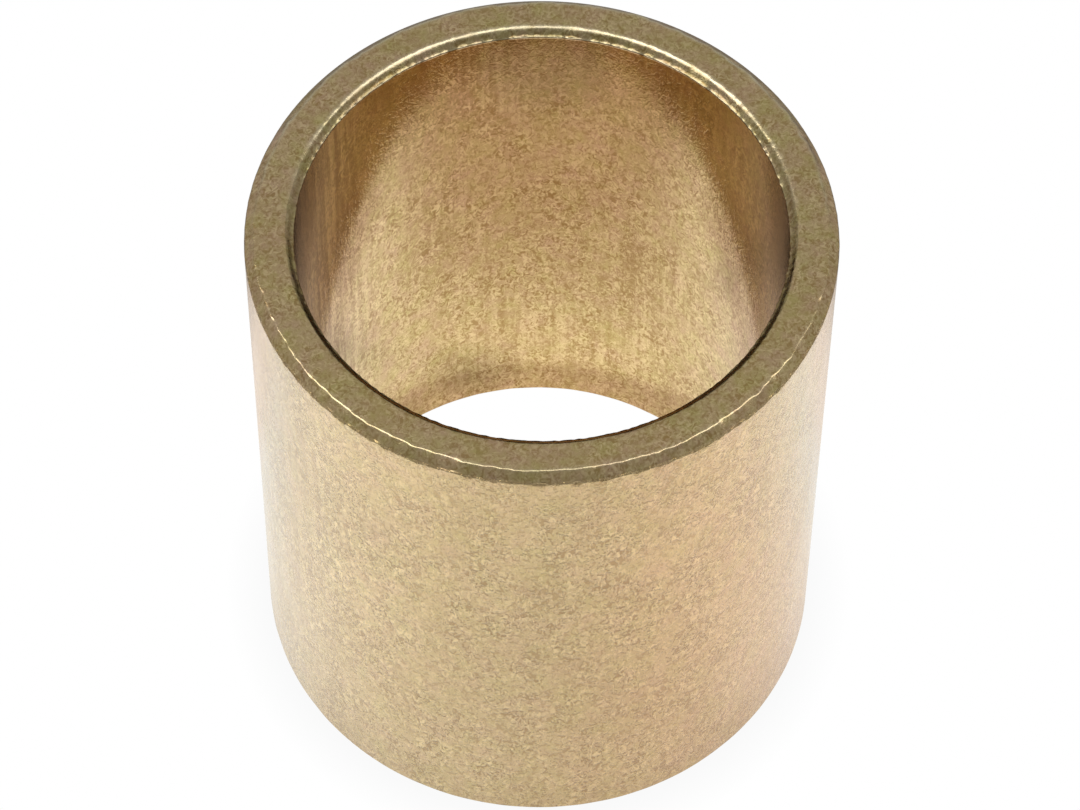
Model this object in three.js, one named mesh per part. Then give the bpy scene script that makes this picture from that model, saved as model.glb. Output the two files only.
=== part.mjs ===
// Plain sleeve bushing of sintered bronze: one thin ring with a through bore.
// Millimetres, +Z up. The bore's axis is Z and the bottom end face lies on Z = 0.
import * as THREE from 'three';

const BORE_DIAMETER = 15;
const WALL_THICKNESS = 1.5;
const LENGTH = 20;
const OUTSIDE_CHAMFER = 0.3; // each leg of the 45 degree chamfer, at both ends
const BORE_CHAMFER = 0.25; // each leg of the 45 degree chamfer, at both ends
const FACETS_AROUND = 96; // a multiple of four, so the box has the true outside diameter

// Half of the section through the axis: [radius, height] corners in anticlockwise order.
function sleeveSection() {
  const boreRadius = BORE_DIAMETER / 2;
  const outsideRadius = boreRadius + WALL_THICKNESS;
  const corners = [
    [boreRadius + BORE_CHAMFER, 0],
    [outsideRadius - OUTSIDE_CHAMFER, 0],
    [outsideRadius, OUTSIDE_CHAMFER],
    [outsideRadius, LENGTH - OUTSIDE_CHAMFER],
    [outsideRadius - OUTSIDE_CHAMFER, LENGTH],
    [boreRadius + BORE_CHAMFER, LENGTH],
    [boreRadius, LENGTH - BORE_CHAMFER],
    [boreRadius, BORE_CHAMFER],
  ];
  const closed = [...corners, corners[0]];
  return closed.map(([radius, height]) => new THREE.Vector2(radius, height));
}

function sinteredBronze() {
  return new THREE.MeshStandardMaterial({ color: 0xd2b78e, roughness: 0.4, metalness: 1 });
}

// The lathe turns about its own Y axis, so the ring is stood up onto Z.
function bushingSleeve() {
  const ring = new THREE.LatheGeometry(sleeveSection(), FACETS_AROUND);
  ring.rotateX(Math.PI / 2);
  const sleeve = new THREE.Mesh(ring, sinteredBronze());
  sleeve.name = 'bushing_sleeve';
  return sleeve;
}

const bushing = new THREE.Group();
bushing.add(bushingSleeve());

export default bushing;
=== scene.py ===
"""Plain sleeve bushing of sintered bronze, standing on a pale light table in a plain studio."""
import math
import random
from typing import Callable, NamedTuple

import bpy
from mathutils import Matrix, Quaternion, Vector, noise


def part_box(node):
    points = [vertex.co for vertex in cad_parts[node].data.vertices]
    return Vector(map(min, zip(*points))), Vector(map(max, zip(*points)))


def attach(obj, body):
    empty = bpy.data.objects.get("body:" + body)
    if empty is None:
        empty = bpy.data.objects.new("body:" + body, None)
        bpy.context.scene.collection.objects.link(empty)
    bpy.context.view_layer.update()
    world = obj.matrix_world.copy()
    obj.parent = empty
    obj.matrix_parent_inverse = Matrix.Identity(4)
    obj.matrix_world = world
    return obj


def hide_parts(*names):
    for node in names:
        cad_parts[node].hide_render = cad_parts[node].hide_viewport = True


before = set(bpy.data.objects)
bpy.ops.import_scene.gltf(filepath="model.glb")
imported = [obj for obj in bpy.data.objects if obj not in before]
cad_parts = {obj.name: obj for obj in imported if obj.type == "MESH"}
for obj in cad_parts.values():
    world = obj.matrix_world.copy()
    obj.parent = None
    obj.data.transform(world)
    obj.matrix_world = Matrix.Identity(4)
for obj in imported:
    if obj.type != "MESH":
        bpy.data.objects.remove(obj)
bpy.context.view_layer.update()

MM = 0.001
SLEEVE_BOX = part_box("bushing_sleeve")

# ---- the sleeve, in metres ----
OUTSIDE_RADIUS = (SLEEVE_BOX[1].x - SLEEVE_BOX[0].x) / 2
LENGTH = SLEEVE_BOX[1].z - SLEEVE_BOX[0].z
WALL = 1.5 * MM
BORE_RADIUS = OUTSIDE_RADIUS - WALL
OUTSIDE_CHAMFER = 0.3 * MM
BORE_CHAMFER = 0.25 * MM
RIDGE_OUT = OUTSIDE_RADIUS - OUTSIDE_CHAMFER
RIDGE_IN = BORE_RADIUS + BORE_CHAMFER

# ---- its mesh ----
STEPS_AROUND = 850
STEPS_IN_CORNER = 5
SUPPORT_GAP = 0.02 * MM  # from the end of a corner's rounding to the next row of points


# ---------------------------------------------------------------- the sleeve's finishes

class Finish(NamedTuple):
    """How one part of the sleeve looks. Colours are linear light."""

    name: str
    colour: tuple
    contrast: float  # how much darker and paler than the colour the grain's strokes are
    roughness: float
    relief: float  # the depth of the grain
    mottling: float  # the strength of the soft pink, olive and dark patches
    oil_film: float = 0.1
    streaks: float = 0.0  # the strength of the marks along the axis
    glancing: tuple = (1.0, 1.0, 1.0)  # the tint of what it mirrors at a low angle
    metal: float = 1.0


OUTSIDE = Finish(
    name="bronze_outside",
    colour=(0.66, 0.466, 0.210),
    contrast=1.22,
    roughness=0.25,
    relief=0.011 * MM,
    mottling=0.9,
    oil_film=0.95,
    streaks=0.25,
)
# The bore's bronze is the outside's darkened to about seven tenths: painted shade inside the bore.
SHADED_BORE = Finish(
    name="bronze_bore",
    colour=(0.460, 0.322, 0.147),
    contrast=1.25,
    roughness=0.125,
    relief=0.0012 * MM,
    mottling=1.3,
    oil_film=0.0,
    streaks=0.85,
    glancing=(0.85, 0.86, 0.88),
    metal=0.97,
)
ENDS = Finish(
    name="bronze_ends",
    colour=(0.65, 0.50, 0.27),
    contrast=1.4,
    roughness=0.26,
    relief=0.0015 * MM,
    mottling=1.5,
)
# The bore's chamfer has the ends' bronze darkened to about seven tenths: painted shade where it faces into
# the bore.
SHADED_BORE_EDGE = Finish(
    name="bronze_bore_edge",
    colour=(0.46, 0.36, 0.19),
    contrast=1.6,
    roughness=0.26,
    relief=0.0015 * MM,
    mottling=1.6,
)
FINISHES = [OUTSIDE, SHADED_BORE, ENDS, SHADED_BORE_EDGE]
STEEP = 0.75  # how far across a surface must face to count as the outside or the bore
LEANING = 0.42  # how far towards the axis it must face to count as the bore's chamfer


def finish_of(normal):
    """The finish on a part of the section that faces that way."""
    if normal.x > STEEP:
        return OUTSIDE
    if normal.x < -STEEP:
        return SHADED_BORE
    if normal.x < -LEANING:
        return SHADED_BORE_EDGE
    return ENDS


# ---------------------------------------------------------------- the sleeve's section

class Corner:
    """A corner of the sleeve's half section: its place, rounding, and rows of points on to the next."""

    def __init__(self, radius, height, rounding, rows_after):
        self.place = Vector((radius, height))
        self.rounding = rounding
        self.rows_after = rows_after


BOTTOM_IN = Corner(RIDGE_IN, 0, rounding=0.06 * MM, rows_after=3)
BOTTOM_OUT = Corner(RIDGE_OUT, 0, rounding=0.05 * MM, rows_after=3)
FOOT_OUT = Corner(OUTSIDE_RADIUS, OUTSIDE_CHAMFER, rounding=0.08 * MM, rows_after=14)
SHOULDER_OUT = Corner(OUTSIDE_RADIUS, LENGTH - OUTSIDE_CHAMFER, rounding=0.16 * MM, rows_after=6)
TOP_OUT = Corner(RIDGE_OUT, LENGTH, rounding=0.08 * MM, rows_after=8)
TOP_IN = Corner(RIDGE_IN, LENGTH, rounding=0.24 * MM, rows_after=6)
SHOULDER_IN = Corner(BORE_RADIUS, LENGTH - BORE_CHAMFER, rounding=0.06 * MM, rows_after=18)
FOOT_IN = Corner(BORE_RADIUS, BORE_CHAMFER, rounding=0.06 * MM, rows_after=3)
CORNERS = [BOTTOM_IN, BOTTOM_OUT, FOOT_OUT, SHOULDER_OUT, TOP_OUT, TOP_IN, SHOULDER_IN, FOOT_IN]


def rounded_corner(before, corner, after):
    """Points and outward normals of the arc that rounds a corner between its two straight sides."""
    side_in = (corner.place - before.place).normalized()
    side_out = (after.place - corner.place).normalized()
    turn = side_in.angle(side_out)
    start = corner.place - side_in * corner.rounding * math.tan(turn / 2)
    normal_in = Vector((side_in.y, -side_in.x))
    normal_out = Vector((side_out.y, -side_out.x))
    centre = start - normal_in * corner.rounding
    points = []
    for step in range(STEPS_IN_CORNER + 1):
        share = step / STEPS_IN_CORNER * turn
        normal = (normal_in * math.sin(turn - share) + normal_out * math.sin(share)).normalized()
        points.append((centre + normal * corner.rounding, normal))
    return points


def straight_rows(start, end, normal, rows):
    """Points between two arcs, closer together towards both ends."""
    length = (end - start).length
    along = (end - start) / length
    inner = length - 2 * SUPPORT_GAP
    shares = [(1 - math.cos(math.pi * row / rows)) / 2 for row in range(rows + 1)]
    return [(start + along * (SUPPORT_GAP + inner * share), normal) for share in shares]


def section():
    """The whole closed section, anticlockwise, as (point, outward normal) pairs."""
    count = len(CORNERS)
    arcs = [rounded_corner(CORNERS[i - 1], CORNERS[i], CORNERS[(i + 1) % count]) for i in range(count)]
    outline = []
    for i, corner in enumerate(CORNERS):
        arc, following = arcs[i], arcs[(i + 1) % count]
        last_point, last_normal = arc[-1]
        outline += arc
        outline += straight_rows(last_point, following[0][0], last_normal, corner.rows_after)
    return outline


# ---------------------------------------------------------------- its worn edges, and highlights painted on them

class Wave(NamedTuple):
    """One size of unevenness round the sleeve. A different seed gives a different wave."""

    length: float
    height: float
    seed: float


LIP_HEIGHT = 0.036 * MM
LIP_LOST_IN_FRONT = 0.5
LIP_WAVES = [Wave(0.20 * MM, 0.085 * MM, seed=3.1), Wave(1.1 * MM, 0.030 * MM, seed=7.7)]
SHOULDER_WAVES = [Wave(0.22 * MM, 0.065 * MM, seed=12.4), Wave(1.1 * MM, 0.035 * MM, seed=15.2)]
OUTER_RIDGE_WAVES = [Wave(0.3 * MM, 0.05 * MM, seed=21.0), Wave(1.2 * MM, 0.06 * MM, seed=23.0)]
INNER_RIDGE_WAVES = [Wave(0.25 * MM, 0.03 * MM, seed=31.0), Wave(1.2 * MM, 0.03 * MM, seed=33.0)]
FOOT_WAVES = [Wave(0.8 * MM, 0.008 * MM, seed=41.0)]
WEAR_AND_HIGHLIGHT_WAVES = [Wave(0.7 * MM, 0.7, seed=51.0), Wave(0.3 * MM, 0.5, seed=53.0)]  # heights are shares
BACK_WEAR_AND_HIGHLIGHT_FADE = 0.7  # under 1, so that the wear and painted highlight at the back reach well round to the sides

NICK_COUNT = 46
NICK_SEED = 5
NICK_HALF_WIDTHS = (0.04 * MM, 0.12 * MM)
NICK_DEPTHS = (0.004 * MM, 0.016 * MM)


def uneven(angle, waves):
    """The sum of the waves at that angle: noise that comes back to itself after one turn."""
    total = 0.0
    for wave in waves:
        reach = OUTSIDE_RADIUS / wave.length
        place = Vector((math.cos(angle) * reach, math.sin(angle) * reach, wave.seed))
        total += noise.noise(place) * wave.height
    return total


def frontness(angle):
    """1 at the front of the sleeve, 0 at its back."""
    return (1 - math.sin(angle)) / 2


def bore_lip(angle):
    """The thin, broken burr that the sizing tool left where the chamfer meets the bore."""
    height = max(0.0, LIP_HEIGHT + uneven(angle, LIP_WAVES))
    return height * (1 - LIP_LOST_IN_FRONT * frontness(angle))


def outside_lip(angle):
    """The ragged shoulder where the chamfer meets the outside, roughest in front."""
    return uneven(angle, SHOULDER_WAVES) * frontness(angle) ** 2


def outer_ridge_shift(angle):
    """How far the ridge round the end face wanders in or out."""
    return uneven(angle, OUTER_RIDGE_WAVES)


def inner_ridge_shift(angle):
    return uneven(angle, INNER_RIDGE_WAVES)


def foot_wear(angle):
    return uneven(angle, FOOT_WAVES)


def nicks():
    """Small dents along the top outside ridge, as (angle, half width as an angle, depth)."""
    draw = random.Random(NICK_SEED)
    made = []
    for _ in range(NICK_COUNT):
        angle = draw.uniform(-math.pi, math.pi)
        half_width = draw.uniform(*NICK_HALF_WIDTHS) / OUTSIDE_RADIUS
        depth = draw.uniform(*NICK_DEPTHS)
        made.append((angle, half_width, depth))
    return made


NICKS = nicks()


def nicked_ridge(angle):
    dent = 0.0
    for place, half_width, depth in NICKS:
        away = math.remainder(angle - place, 2 * math.pi) / half_width
        dent += depth * math.exp(-away * away)
    return -dent


def wear_and_highlight(angle, in_front, most):
    """How far a top edge is rubbed bare and painted with highlight: patchy, strongest at the back, where its
    paleness stands in for the highlights on the far ridges and lip, and hardly at the sides.
    """
    back = max(0.0, math.sin(angle)) ** BACK_WEAR_AND_HIGHLIGHT_FADE
    front = max(0.0, -math.sin(angle)) * in_front
    patchy = (back + front) * (1 + uneven(angle, WEAR_AND_HIGHLIGHT_WAVES))
    return min(1.0, max(0.0, patchy)) * most


class Edge(NamedTuple):
    """What happens along one edge: how far from the corner it reaches, and how much at each angle."""

    corner: Corner
    reach: float
    amount: Callable
    upper_side_only: bool = False

    def weights(self, outline):
        """How far each point of the section goes with the edge: 1 on it, fading to 0 away from it."""
        near = [math.exp(-((point - self.corner.place).length / self.reach) ** 2) for point, _ in outline]
        if not self.upper_side_only:
            return near
        return [weight * max(normal.y, 0.0) for weight, (_, normal) in zip(near, outline)]


RAISED_EDGES = [
    Edge(SHOULDER_IN, reach=0.06 * MM, amount=bore_lip, upper_side_only=True),
    Edge(SHOULDER_OUT, reach=0.06 * MM, amount=outside_lip),
    Edge(TOP_OUT, reach=0.06 * MM, amount=nicked_ridge),
    Edge(FOOT_OUT, reach=0.08 * MM, amount=foot_wear),
    Edge(FOOT_IN, reach=0.08 * MM, amount=foot_wear),
]
SHIFTED_EDGES = [
    Edge(TOP_OUT, reach=0.12 * MM, amount=outer_ridge_shift),
    Edge(TOP_IN, reach=0.10 * MM, amount=inner_ridge_shift),
]
# Where the edges are worn rougher and paler; the paleness, strongest at the back, is also painted highlight.
WORN_AND_HIGHLIT_EDGES = [
    Edge(TOP_OUT, 0.06 * MM, lambda angle: wear_and_highlight(angle, in_front=0.35, most=1.0), upper_side_only=True),
    Edge(TOP_IN, 0.08 * MM, lambda angle: wear_and_highlight(angle, in_front=0.0, most=0.8), upper_side_only=True),
    Edge(SHOULDER_IN, 0.05 * MM, lambda angle: wear_and_highlight(angle, in_front=0.0, most=0.9), upper_side_only=True),
    Edge(SHOULDER_OUT, 0.05 * MM, lambda angle: wear_and_highlight(angle, in_front=0.4, most=0.8), upper_side_only=True),
]


# ---------------------------------------------------------------- the sleeve

def angle_at(step):
    return 2 * math.pi * step / STEPS_AROUND


def along_edges(outline, edges, combined):
    """What the edges do to each point of the section, as one list for each step round the sleeve."""
    weighted = [(edge.weights(outline), edge.amount) for edge in edges]
    rings = []
    for step in range(STEPS_AROUND):
        amounts = [(weights, amount(angle_at(step))) for weights, amount in weighted]
        ring = [combined(weights[row] * amount for weights, amount in amounts) for row in range(len(outline))]
        rings.append(ring)
    return rings


def sleeve_points(outline):
    """The section's points all round the sleeve, moved by its uneven edges but never past its box."""
    raised = along_edges(outline, RAISED_EDGES, sum)
    shifted = along_edges(outline, SHIFTED_EDGES, sum)
    points = []
    for step in range(STEPS_AROUND):
        across, along = math.cos(angle_at(step)), math.sin(angle_at(step))
        for (point, normal), lift, shift in zip(outline, raised[step], shifted[step]):
            radius = min(point.x + normal.x * lift + shift, OUTSIDE_RADIUS)
            level = min(max(point.y + normal.y * lift, 0.0), LENGTH)
            points.append((across * radius, along * radius, level))
    return points


def sleeve_faces(rows):
    faces = []
    for step in range(STEPS_AROUND):
        here, there = step * rows, (step + 1) % STEPS_AROUND * rows
        for row in range(rows):
            following = (row + 1) % rows
            faces.append((here + row, there + row, there + following, here + following))
    return faces


def sleeve_mesh():
    outline = section()
    faces = sleeve_faces(len(outline))
    mesh = bpy.data.meshes.new("sleeve")
    mesh.from_pydata(sleeve_points(outline), [], faces)
    mesh.polygons.foreach_set("use_smooth", [True] * len(faces))
    finish_numbers = [FINISHES.index(finish_of(normal)) for _, normal in outline]
    mesh.polygons.foreach_set("material_index", finish_numbers * STEPS_AROUND)
    # How far each point is worn, which also sets where highlight is painted.
    worn_and_highlit = [value for ring in along_edges(outline, WORN_AND_HIGHLIT_EDGES, max) for value in ring]
    mesh.attributes.new("worn_and_highlit", "FLOAT", "POINT").data.foreach_set("value", worn_and_highlit)
    return mesh


def sleeve():
    piece = bpy.data.objects.new("sleeve", sleeve_mesh())
    for finish in FINISHES:
        piece.data.materials.append(bronze(finish))
    bpy.context.collection.objects.link(piece)
    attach(piece, "root")
    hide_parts("bushing_sleeve")


# ---------------------------------------------------------------- shader nodes

class Ramp(NamedTuple):
    """A level that changes evenly while a value goes from start to end, and holds on both sides."""

    start: float
    end: float
    before: float = 0.0
    after: float = 1.0


class Graph:
    """Short calls for the few kinds of shader node that this scene needs."""

    def __init__(self, tree):
        self.tree = tree
        tree.nodes.clear()

    def node(self, kind, inputs=(), **settings):
        made = self.tree.nodes.new(kind)
        for name, value in settings.items():
            setattr(made, name, value)
        for name, value in dict(inputs).items():
            if isinstance(value, bpy.types.NodeSocket):
                self.tree.links.new(value, made.inputs[name])
            else:
                made.inputs[name].default_value = value
        return made

    def math(self, operation, *values):
        return self.node("ShaderNodeMath", enumerate(values), operation=operation).outputs[0]

    def add(self, first, second):
        return self.math("ADD", first, second)

    def times(self, first, second):
        return self.math("MULTIPLY", first, second)

    def larger(self, first, second):
        return self.math("MAXIMUM", first, second)

    def stretched(self, place, across, along):
        inputs = {0: place, 1: (across, across, along)}
        return self.node("ShaderNodeVectorMath", inputs, operation="MULTIPLY").outputs[0]

    def distance(self, place, centre):
        inputs = {0: place, 1: centre}
        return self.node("ShaderNodeVectorMath", inputs, operation="DISTANCE").outputs["Value"]

    def axes(self, place):
        return self.node("ShaderNodeSeparateXYZ", {0: place}).outputs

    def millimetres(self):
        """The place on the object, in millimetres."""
        place = self.node("ShaderNodeTexCoord").outputs["Object"]
        return self.stretched(place, 1 / MM, 1 / MM)

    def noise(self, place, scale, detail=2.0, roughness=0.5, curl=0.0):
        inputs = {"Vector": place, "Scale": scale, "Detail": detail, "Roughness": roughness}
        inputs["Distortion"] = curl
        return self.node("ShaderNodeTexNoise", inputs).outputs[0]

    def ramp(self, value, ramp):
        inputs = {"Value": value, "From Min": ramp.start, "From Max": ramp.end}
        inputs["To Min"], inputs["To Max"] = ramp.before, ramp.after
        return self.node("ShaderNodeMapRange", inputs).outputs[0]

    def mix(self, share, first, second):
        # A Mix node's colour sockets go by number, because its other sockets have the same names.
        colours = {6: first, 7: second, 0: share}
        return self.node("ShaderNodeMix", colours, data_type="RGBA").outputs[2]

    def for_camera(self, real, seen_by_camera, output):
        """The real shader for light and reflections, and another for what the camera sees directly."""
        to_camera = self.node("ShaderNodeLightPath").outputs["Is Camera Ray"]
        inputs = {0: to_camera, 1: real.outputs[0], 2: seen_by_camera.outputs[0]}
        chosen = self.node("ShaderNodeMixShader", inputs)
        self.node(output, {"Surface": chosen.outputs[0]})


def new_material(name):
    material = bpy.data.materials.new(name)
    material.use_nodes = True
    return material, Graph(material.node_tree)


def tone(red, green, blue):
    return (red, green, blue, 1.0)


# ---------------------------------------------------------------- bronze

# Each tone is the finish's colour with its red, green and blue changed by these shares.
PINK = (0.03, -0.03, 0.09)
OLIVE = (-0.03, 0.03, -0.12)
DARK = (-0.34, -0.43, -0.58)
PALE = (0.32, 0.37, 0.46)
# The pale cream of worn edges, also used as painted highlight on the far ridges and the lip.
WORN_HIGHLIGHT_COLOUR = tone(0.82, 0.76, 0.57)

# How far each pattern is squeezed along the axis: the smaller, the longer its marks.
GRAIN_SQUEEZE = 0.72
MOTTLE_SQUEEZE = 0.35
STREAK_SQUEEZE = 0.05

# Ramps of noise, most of which lies between these two.
NOISE_LOW = 0.3
NOISE_HIGH = 0.7
TINTS = Ramp(NOISE_LOW, NOISE_HIGH)
PITS = Ramp(0.37, 0.47, before=1.0, after=0.0)
CRESTS = Ramp(0.54, 0.64)
STRONG_GRAIN = Ramp(0.36, 0.62, before=0.55)
DARK_STREAKS = Ramp(0.45, 0.65)
PALE_STREAKS = Ramp(0.35, 0.48, before=0.6, after=0.0)
STREAKED_PATCHES = Ramp(0.5, 0.8)

# Ramps of the place on the sleeve, in millimetres.
WEAKER_GRAIN_UP_Z = Ramp(13.0, 19.0, before=1.0, after=0.72)
STREAKED_LEFT_OF_X = Ramp(-5.0, -6.3)

MOTTLE_DARKNESS = 0.18
PIT_DARKNESS = 0.85
CREST_PALENESS = 0.7
# How far worn edges turn pale: partly wear, partly painted highlight.
WORN_HIGHLIGHT_PALENESS = 0.8
WORN_ROUGHNESS = 0.32
DULLEST = 1.15  # times the finish's roughness, in its dark patches
GLOSSIEST = 0.85  # times the finish's roughness, between them
OIL_ROUGHNESS = 0.35
OIL_INDEX = 1.5  # the refractive index of oil


def changed(colour, shares, amount):
    """The colour with each channel changed by its share, times the amount."""
    return tone(*(channel * (1 + share * amount) for channel, share in zip(colour, shares)))


def grain(graph, place, drawn):
    """How far each place is in a dark pit or on a pale crest of the grain, and its strength there."""
    strokes = graph.noise(drawn, scale=6.4, detail=1.2, roughness=0.6, curl=1.3)
    patches = graph.noise(drawn, scale=0.9, detail=2.0)
    near_top = graph.ramp(graph.axes(place)["Z"], WEAKER_GRAIN_UP_Z)
    strength = graph.times(graph.ramp(patches, STRONG_GRAIN), near_top)
    return graph.ramp(strokes, PITS), graph.ramp(strokes, CRESTS), strength


def streaks(graph, place):
    """Where the dark and the polished marks along the axis are: in patches, and all down the left."""
    lines = graph.noise(graph.stretched(place, 1.0, STREAK_SQUEEZE), scale=3.4, detail=3.0, roughness=0.6)
    patches = graph.noise(place, scale=0.18, detail=1.0)
    to_left = graph.ramp(graph.axes(place)["X"], STREAKED_LEFT_OF_X)
    streaked = graph.larger(graph.ramp(patches, STREAKED_PATCHES), to_left)
    marked = graph.times(graph.ramp(lines, DARK_STREAKS), streaked)
    polished = graph.times(graph.ramp(lines, PALE_STREAKS), streaked)
    return marked, polished


def bronze(finish):
    """Sintered bronze: soft mottling, axial streaks, and a fine grain of curly light and dark strokes."""
    material, graph = new_material(finish.name)
    place = graph.millimetres()
    pink = changed(finish.colour, PINK, finish.mottling)
    olive = changed(finish.colour, OLIVE, finish.mottling)
    dark = changed(finish.colour, DARK, finish.contrast)
    pale = changed(finish.colour, PALE, finish.contrast)

    drawn = graph.stretched(place, 1.0, GRAIN_SQUEEZE)
    tint = graph.noise(drawn, scale=1.5, detail=3.0, roughness=0.6)
    mottle = graph.noise(graph.stretched(place, 1.0, MOTTLE_SQUEEZE), scale=0.7, detail=3.0)
    pits, crests, strength = grain(graph, place, drawn)
    marked, polished = streaks(graph, place)

    darkness = Ramp(NOISE_LOW, NOISE_HIGH, before=MOTTLE_DARKNESS * finish.mottling, after=0.0)
    colour = graph.mix(graph.ramp(tint, TINTS), pink, olive)
    colour = graph.mix(graph.ramp(mottle, darkness), colour, dark)
    colour = graph.mix(graph.times(marked, finish.streaks), colour, dark)
    colour = graph.mix(graph.times(polished, finish.streaks), colour, pale)
    colour = graph.mix(graph.times(pits, graph.times(strength, PIT_DARKNESS)), colour, dark)
    colour = graph.mix(graph.times(crests, graph.times(strength, CREST_PALENESS)), colour, pale)
    # Worn edges turn rougher and paler; the paleness is partly painted highlight.
    worn_and_highlit = graph.node("ShaderNodeAttribute", attribute_name="worn_and_highlit").outputs["Fac"]
    colour = graph.mix(graph.times(worn_and_highlit, WORN_HIGHLIGHT_PALENESS), colour, WORN_HIGHLIGHT_COLOUR)

    dullness = Ramp(NOISE_LOW, NOISE_HIGH, finish.roughness * DULLEST, finish.roughness * GLOSSIEST)
    roughness = graph.larger(graph.ramp(mottle, dullness), graph.times(worn_and_highlit, WORN_ROUGHNESS))
    height = graph.times(graph.math("SUBTRACT", crests, pits), strength)
    bump = graph.node("ShaderNodeBump", {"Height": height, "Distance": finish.relief, "Strength": 1.0})

    shader = graph.node("ShaderNodeBsdfPrincipled", {
        "Metallic": finish.metal,
        "Base Color": colour,
        "Roughness": roughness,
        "Specular Tint": tone(*finish.glancing),
        "Normal": bump.outputs[0],
        "Coat Weight": finish.oil_film,
        "Coat Roughness": OIL_ROUGHNESS,
        "Coat IOR": OIL_INDEX,
    })
    graph.node("ShaderNodeOutputMaterial", {"Surface": shader.outputs[0]})
    return material


# ---------------------------------------------------------------- the light table

# All of these places and distances are in millimetres, with the sleeve's axis at 0, 0.
THROUGH_BORE = Ramp(8.2, 8.3, before=1.0, after=0.0)  # by distance from the axis
ROUND_THE_WALL = Ramp(8.2, 8.3)

# The table inside the bore, from its dimmest line towards the front and the back.
DIMMEST_Y = -1.5
DIMMEST_INSIDE = 0.97
INSIDE_RISE = 0.013  # times the square of the distance from that line
UNDER_FAR_WALL_OUT = Ramp(6.1, 6.5)
UNDER_FAR_WALL_Y = Ramp(3.5, 5.5)
FAR_WALL_SHADE = Ramp(0.0, 1.0, before=1.0, after=0.68)
BACK_SHADE_Y = Ramp(4.9, 5.7, before=1.0, after=0.93)
FRONT_SHADE_Y = Ramp(-5.4, -4.5, before=0.55)
SPOT_BY_FAR_WALL = (-1.6, 6.2, 0)
SPOT_SHADE = Ramp(0.3, 1.5, before=0.7)

# The table outside the sleeve.
SHADE_IN_FRONT = (0, -16, 0)
FRONT_SHADE = Ramp(4.0, 16.0, before=0.66, after=0.94)
FOOT_SHADE = Ramp(9.1, 10.5, before=0.85)
BRIGHT_RING = Ramp(16.0, 21.0, before=1.0, after=1.1)
BEHIND_SHADE_Y = Ramp(8.0, 13.0, before=1.0, after=0.2)
FAR_OFF = Ramp(24.0, 40.0)
BEYOND = Ramp(50.0, 110.0, before=0.03, after=0.4)

# Its glow's colours, and where the glow is painted warmer or cooler to tint what the sleeve mirrors.
NEUTRAL_GLOW = tone(0.98, 1, 1)
COOL_GLOW = tone(0.93, 1, 1.05)
WARM_GLOW = tone(0.93, 0.81, 0.77)
WARM_INSIDE_Y = Ramp(-1.0, 4.0, before=1.0, after=0.0)
FAR_WALL_WARMTH = 0.7
WARM_SPOT = (11, -9, 0)
WARM_SPOT_FADE = Ramp(5.0, 13.0, before=0.85, after=0.0)
COOL_ASIDE = Ramp(7.0, 10.0)
COOL_BEHIND_Y = Ramp(-1.0, 4.0)

TABLE_COLOUR = tone(0.25, 0.25, 0.25)
TABLE_ROUGHNESS = 0.9
CONTACT_SHADE = Ramp(9.0, 10.5, before=0.95)  # a painted contact shadow, all the shade that the camera sees
WHITE = tone(1, 1, 1)


def glow_inside(graph, axes, place, at_far_wall):
    """The table's glow inside the bore, with painted shade under the far wall, by it and towards the front.
    """
    from_dimmest = graph.add(axes["Y"], -DIMMEST_Y)
    glow = graph.add(graph.times(graph.times(from_dimmest, from_dimmest), INSIDE_RISE), DIMMEST_INSIDE)
    glow = graph.times(glow, graph.ramp(at_far_wall, FAR_WALL_SHADE))
    glow = graph.times(glow, graph.ramp(axes["Y"], BACK_SHADE_Y))
    glow = graph.times(glow, graph.ramp(axes["Y"], FRONT_SHADE_Y))
    from_spot = graph.distance(place, SPOT_BY_FAR_WALL)
    return graph.times(glow, graph.ramp(from_spot, SPOT_SHADE))


def glow_outside(graph, away, axes, place):
    """The table's glow round the sleeve: painted shade at its foot, in front of it and behind it, a painted
    brighter ring, and a painted dark beyond it.
    """
    glow = graph.ramp(graph.distance(place, SHADE_IN_FRONT), FRONT_SHADE)
    glow = graph.times(glow, graph.ramp(away, FOOT_SHADE))
    glow = graph.times(glow, graph.ramp(away, BRIGHT_RING))
    glow = graph.times(glow, graph.ramp(axes["Y"], BEHIND_SHADE_Y))
    far = graph.ramp(away, FAR_OFF)
    near = graph.math("SUBTRACT", 1.0, far)
    return graph.add(graph.times(glow, near), graph.times(graph.ramp(away, BEYOND), far))


def glow_colour(graph, axes, place, through_bore, at_far_wall):
    """The colour of the table's glow, painted warm inside the bore and to the front right and cool to the
    sides behind.
    """
    warmth = graph.times(through_bore, graph.ramp(axes["Y"], WARM_INSIDE_Y))
    warmth = graph.larger(warmth, graph.times(at_far_wall, FAR_WALL_WARMTH))
    warmth = graph.larger(warmth, graph.ramp(graph.distance(place, WARM_SPOT), WARM_SPOT_FADE))
    aside = graph.ramp(graph.math("ABSOLUTE", axes["X"]), COOL_ASIDE)
    to_side = graph.times(aside, graph.ramp(axes["Y"], COOL_BEHIND_Y))
    colour = graph.mix(to_side, NEUTRAL_GLOW, COOL_GLOW)
    return graph.mix(warmth, colour, WARM_GLOW)


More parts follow.
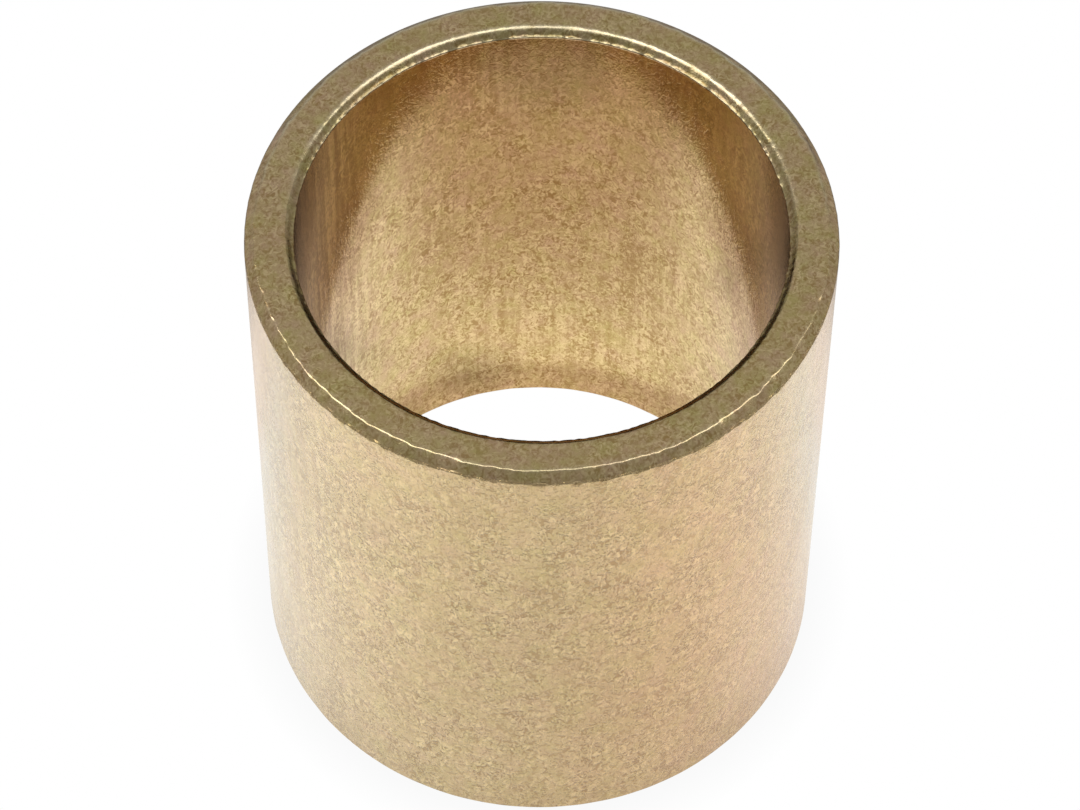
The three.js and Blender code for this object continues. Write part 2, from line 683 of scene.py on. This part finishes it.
def light_table():
    """A lit and glowing table top. To the camera it is plain white but for a faint painted contact shadow.
    The sleeve mirrors its glow, with painted shade round the sleeve's foot, in front of it and inside the
    bore, and a painted dark beyond its edge."""
    material, graph = new_material("light_table")
    place = graph.millimetres()
    axes = graph.axes(place)
    away = graph.distance(place, (0, 0, 0))
    at_far_wall = graph.times(graph.ramp(away, UNDER_FAR_WALL_OUT), graph.ramp(axes["Y"], UNDER_FAR_WALL_Y))
    through_bore = graph.ramp(away, THROUGH_BORE)

    inside = graph.times(glow_inside(graph, axes, place, at_far_wall), through_bore)
    outside = graph.times(glow_outside(graph, away, axes, place), graph.ramp(away, ROUND_THE_WALL))
    table = graph.node("ShaderNodeBsdfPrincipled", {
        "Base Color": TABLE_COLOUR,
        "Roughness": TABLE_ROUGHNESS,
        "Specular IOR Level": 0.0,
        "Emission Color": glow_colour(graph, axes, place, through_bore, at_far_wall),
        "Emission Strength": graph.add(inside, outside),
    })
    contact = graph.larger(graph.ramp(away, CONTACT_SHADE), through_bore)
    white = graph.node("ShaderNodeEmission", {"Color": WHITE, "Strength": contact})
    graph.for_camera(table, white, "ShaderNodeOutputMaterial")
    return material


# ---------------------------------------------------------------- the stage

FLOOR_HALF = 1.5

ROOM_COLOUR = tone(1, 0.99, 0.95)
ROOM_BRIGHTNESS = 0.42
HORIZON_GLOW_ASIDE = Ramp(0.45, 0.85, before=0.05, after=0.36)  # by how far to the side it lies
HORIZON_HEIGHT = 0.22  # how far up the horizon's own brightness reaches
DIMMER_ROUND_CAMERA = Ramp(-0.9, 0.0, before=0.75)

LAMP_DISTANCE = 150 * MM  # from the sleeve's top

CAMERA_ELEVATION = math.radians(56.3)
CAMERA_DISTANCE = 152.08 * MM
CAMERA_TILT = math.radians(0.622)
AIMED_AT = Vector((0, 0, 10.415 * MM))
LENS_MM = 159.2
SENSOR_MM = 36
CLOSEST_SEEN = 0.01
FARTHEST_SEEN = 10


def floor():
    corners = [(x * FLOOR_HALF, y * FLOOR_HALF, 0) for x, y in [(-1, -1), (1, -1), (1, 1), (-1, 1)]]
    mesh = bpy.data.meshes.new("floor")
    mesh.from_pydata(corners, [], [(0, 1, 2, 3)])
    mesh.materials.append(light_table())
    plane = bpy.data.objects.new("floor", mesh)
    bpy.context.collection.objects.link(plane)


def softbox(name, direction, width, height, radiance):
    """A soft rectangular light over the sleeve, facing its top, with the brightness of its face given."""
    lamp = bpy.data.lights.new(name, "AREA")
    lamp.shape = "RECTANGLE"
    lamp.size, lamp.size_y = width, height
    lamp.energy = radiance * math.pi * width * height
    box = bpy.data.objects.new(name, lamp)
    towards = Vector(direction).normalized()
    box.location = Vector((0, 0, LENGTH)) + towards * LAMP_DISTANCE
    box.rotation_euler = towards.to_track_quat("Z", "Y").to_euler()
    bpy.context.collection.objects.link(box)


def softboxes():
    softbox("left_softbox", (-0.5, -0.05, 0.86), width=90 * MM, height=110 * MM, radiance=2.3)
    softbox("right_softbox", (0.5, -0.05, 0.86), width=80 * MM, height=110 * MM, radiance=1.7)
    softbox("middle_softbox", (0.0, -0.2, 0.98), width=60 * MM, height=60 * MM, radiance=1.2)


def studio():
    """A dim room, darker towards the horizon and the camera's side, that the camera sees as white."""
    world = bpy.data.worlds.new("studio")
    bpy.context.scene.world = world
    world.use_nodes = True
    graph = Graph(world.node_tree)
    towards = graph.axes(graph.node("ShaderNodeTexCoord").outputs["Generated"])
    horizon = graph.ramp(graph.math("ABSOLUTE", towards["X"]), HORIZON_GLOW_ASIDE)
    brightness = graph.ramp(towards["Z"], Ramp(0.0, HORIZON_HEIGHT, before=horizon, after=ROOM_BRIGHTNESS))
    brightness = graph.times(brightness, graph.ramp(towards["Y"], DIMMER_ROUND_CAMERA))
    room = graph.node("ShaderNodeBackground", {"Color": ROOM_COLOUR, "Strength": brightness})
    backdrop = graph.node("ShaderNodeBackground", {"Color": WHITE, "Strength": 1.0})
    graph.for_camera(room, backdrop, "ShaderNodeOutputWorld")


def camera():
    """The view of the sleeve from above its front, with the sleeve filling the frame."""
    lens = bpy.data.cameras.new("camera")
    lens.sensor_width = SENSOR_MM
    lens.lens = LENS_MM
    lens.clip_start, lens.clip_end = CLOSEST_SEEN, FARTHEST_SEEN
    eye = bpy.data.objects.new("camera", lens)
    back = Vector((0, -math.cos(CAMERA_ELEVATION), math.sin(CAMERA_ELEVATION)))
    eye.location = AIMED_AT + back * CAMERA_DISTANCE
    eye.rotation_mode = "QUATERNION"
    eye.rotation_quaternion = back.to_track_quat("Z", "Y") @ Quaternion((0, 0, 1), CAMERA_TILT)
    bpy.context.collection.objects.link(eye)
    bpy.context.scene.camera = eye


sleeve()
floor()
studio()
softboxes()
camera()
bpy.context.scene.view_settings.view_transform = "Standard"
